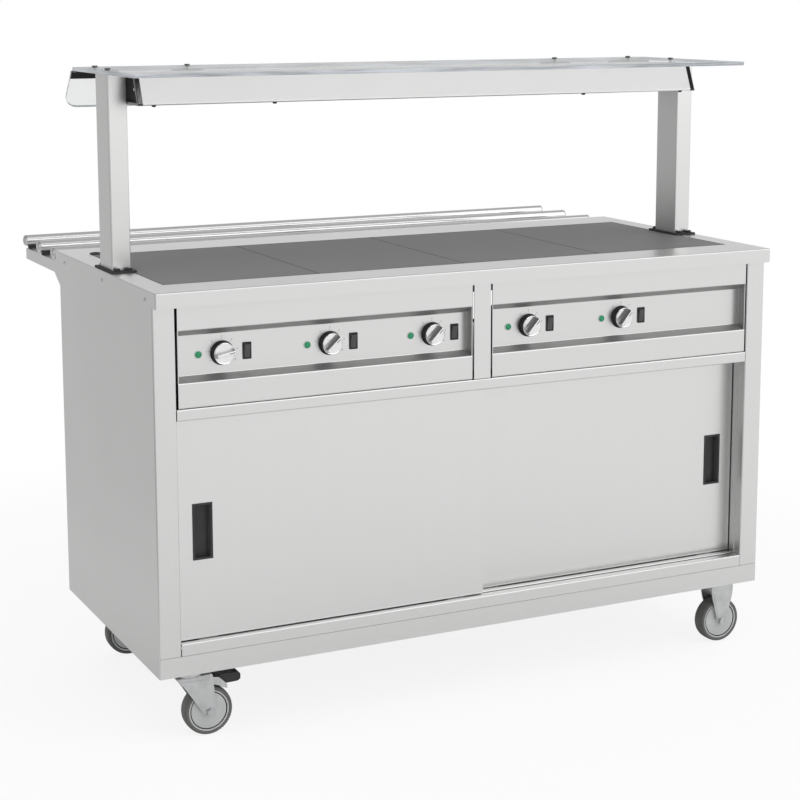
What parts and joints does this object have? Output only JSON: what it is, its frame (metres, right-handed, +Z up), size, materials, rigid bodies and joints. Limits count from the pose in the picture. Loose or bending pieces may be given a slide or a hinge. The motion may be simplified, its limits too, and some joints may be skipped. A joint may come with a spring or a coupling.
{
  "type": "mobile heated servery counter",
  "caption": "Heated hostess trolley: sliding-door hot cupboard on castors, tiled hot top, lamp gantry with glass shelf and screen, tubular tray slide.",
  "frame": {"origin": "middle of the whole footprint, on the floor", "axes": "+X along the counter to the operator's right, +Y from the operator's side to the customers' side, +Z up"},
  "size_m": [1.4032, 0.9835, 1.3025],
  "materials": {
    "satin_steel": "satin stainless sheet, fine grain",
    "zinc_steel": "bright zinc plate",
    "dark_steel": "black semi-gloss coating",
    "polished_metal": "polished, turned",
    "hard_anodised": "matte grey, hard anodised",
    "silicone_mat": "matte",
    "black_plastic": "matte black",
    "gloss_black": "gloss black",
    "green_lens": "green ribbed lens",
    "clear_glass": "toughened, polished edges",
    "quartz": "frosted quartz with ceramic ends",
    "grey_nylon": "moulded light grey",
    "grey_tyre": "dark grey rubber"
  },
  "bodies": {
    "cabinet": {"base_frame": "satin_steel", "side_panel_left": "satin_steel", "side_panel_right": "satin_steel", "back_panel": "satin_steel", "cupboard_liner": "satin_steel", "cupboard_shelf": "satin_steel", "centre_stile": "satin_steel", "door_sill": "satin_steel", "door_head_rail": "satin_steel", "fascia_left": "satin_steel", "fascia_right": "satin_steel", "counter_top": "satin_steel", "heater_tray": "satin_steel", "gantry_posts": "satin_steel", "gantry_beam": "satin_steel", "tray_rails": "satin_steel", "tray_brackets": "satin_steel", "cupboard_element": "satin_steel", "castor_plates": "zinc_steel", "fasteners": "zinc_steel", "castor_fork_front_right": "zinc_steel", "castor_fork_rear_right": "zinc_steel", "beam_end_caps": "dark_steel", "glass_clamps": "dark_steel", "hot_tiles": "hard_anodised", "tile_heaters": "silicone_mat", "mounting_packers": "black_plastic", "energy_regulators": "black_plastic", "cable_glands": "black_plastic", "control_bezels": "gloss_black", "pilot_lights": "green_lens", "glass_shelf": "clear_glass", "sneeze_screen": "clear_glass", "heat_lamps": "quartz"},
    "door_left": {"door_left": "satin_steel", "door_handle_left": "black_plastic"},
    "door_right": {"door_right": "satin_steel", "door_handle_right": "black_plastic"},
    "knob_1": {"knob_1": "polished_metal"},
    "knob_2": {"knob_2": "polished_metal"},
    "knob_3": {"knob_3": "polished_metal"},
    "knob_4": {"knob_4": "polished_metal"},
    "knob_5": {"knob_5": "polished_metal"},
    "switch_1": {"switch_rocker_1": "gloss_black"},
    "switch_2": {"switch_rocker_2": "gloss_black"},
    "switch_3": {"switch_rocker_3": "gloss_black"},
    "switch_4": {"switch_rocker_4": "gloss_black"},
    "switch_5": {"switch_rocker_5": "gloss_black"},
    "castor_front_left": {"castor_fork_front_left": "zinc_steel"},
    "wheel_front_left": {"castor_wheel_front_left": "grey_nylon", "castor_tyre_front_left": "grey_tyre"},
    "brake_front_left": {"brake_pedal_front_left": "black_plastic"},
    "castor_rear_left": {"castor_fork_rear_left": "zinc_steel"},
    "wheel_rear_left": {"castor_wheel_rear_left": "grey_nylon", "castor_tyre_rear_left": "grey_tyre"},
    "brake_rear_left": {"brake_pedal_rear_left": "black_plastic"},
    "wheel_front_right": {"castor_wheel_front_right": "grey_nylon", "castor_tyre_front_right": "grey_tyre"},
    "wheel_rear_right": {"castor_wheel_rear_right": "grey_nylon", "castor_tyre_rear_right": "grey_tyre"}
  },
  "joints": [
    {"name": "door_left_slide", "type": "slide", "parent": "cabinet", "child": "door_left", "axis": [1, 0, 0], "range_m": [0, 0.641]},
    {"name": "door_right_slide", "type": "slide", "parent": "cabinet", "child": "door_right", "axis": [-1, 0, 0], "range_m": [0, 0.641]},
    {"name": "knob_1_turn", "type": "hinge", "parent": "cabinet", "child": "knob_1", "pos_m": [-0.5545, -0.45255, 0.7705], "axis": [0, 1, 0], "range_deg": [-35, 235]},
    {"name": "knob_2_turn", "type": "hinge", "parent": "cabinet", "child": "knob_2", "pos_m": [-0.3295, -0.45255, 0.7705], "axis": [0, 1, 0], "range_deg": [0, 270]},
    {"name": "knob_3_turn", "type": "hinge", "parent": "cabinet", "child": "knob_3", "pos_m": [-0.1045, -0.45255, 0.7705], "axis": [0, 1, 0], "range_deg": [0, 270]},
    {"name": "knob_4_turn", "type": "hinge", "parent": "cabinet", "child": "knob_4", "pos_m": [0.1195, -0.45255, 0.7705], "axis": [0, 1, 0], "range_deg": [0, 270]},
    {"name": "knob_5_turn", "type": "hinge", "parent": "cabinet", "child": "knob_5", "pos_m": [0.3445, -0.45255, 0.7705], "axis": [0, 1, 0], "range_deg": [0, 270]},
    {"name": "switch_1_rock", "type": "hinge", "parent": "cabinet", "child": "switch_1", "pos_m": [-0.5035, -0.44575, 0.7705], "axis": [-1, 0, 0], "range_deg": [0, 14]},
    {"name": "switch_2_rock", "type": "hinge", "parent": "cabinet", "child": "switch_2", "pos_m": [-0.2785, -0.44575, 0.7705], "axis": [-1, 0, 0], "range_deg": [0, 14]},
    {"name": "switch_3_rock", "type": "hinge", "parent": "cabinet", "child": "switch_3", "pos_m": [-0.0535, -0.44575, 0.7705], "axis": [-1, 0, 0], "range_deg": [0, 14]},
    {"name": "switch_4_rock", "type": "hinge", "parent": "cabinet", "child": "switch_4", "pos_m": [0.1705, -0.44575, 0.7705], "axis": [-1, 0, 0], "range_deg": [0, 14]},
    {"name": "switch_5_rock", "type": "hinge", "parent": "cabinet", "child": "switch_5", "pos_m": [0.3955, -0.44575, 0.7705], "axis": [-1, 0, 0], "range_deg": [0, 14]},
    {"name": "castor_front_left_swivel", "type": "hinge", "parent": "cabinet", "child": "castor_front_left", "pos_m": [-0.624, -0.41375, 0.135], "axis": [0, 0, 1], "continuous": true},
    {"name": "wheel_front_left_roll", "type": "hinge", "parent": "castor_front_left", "child": "wheel_front_left", "pos_m": [-0.586, -0.41375, 0.05], "axis": [0, 1, 0], "continuous": true},
    {"name": "brake_front_left_press", "type": "hinge", "parent": "castor_front_left", "child": "brake_front_left", "pos_m": [-0.588, -0.41375, 0.1125], "axis": [0, 1, 0], "range_deg": [0, 11]},
    {"name": "castor_rear_left_swivel", "type": "hinge", "parent": "cabinet", "child": "castor_rear_left", "pos_m": [-0.624, 0.09425, 0.135], "axis": [0, 0, 1], "continuous": true},
    {"name": "wheel_rear_left_roll", "type": "hinge", "parent": "castor_rear_left", "child": "wheel_rear_left", "pos_m": [-0.586, 0.09425, 0.05], "axis": [0, 1, 0], "continuous": true},
    {"name": "brake_rear_left_press", "type": "hinge", "parent": "castor_rear_left", "child": "brake_rear_left", "pos_m": [-0.588, 0.09425, 0.1125], "axis": [0, 1, 0], "range_deg": [0, 11]},
    {"name": "wheel_front_right_roll", "type": "hinge", "parent": "cabinet", "child": "wheel_front_right", "pos_m": [0.637, -0.41375, 0.05], "axis": [0, 1, 0], "continuous": true},
    {"name": "wheel_rear_right_roll", "type": "hinge", "parent": "cabinet", "child": "wheel_rear_right", "pos_m": [0.637, 0.09425, 0.05], "axis": [0, 1, 0], "continuous": true}
  ]
}
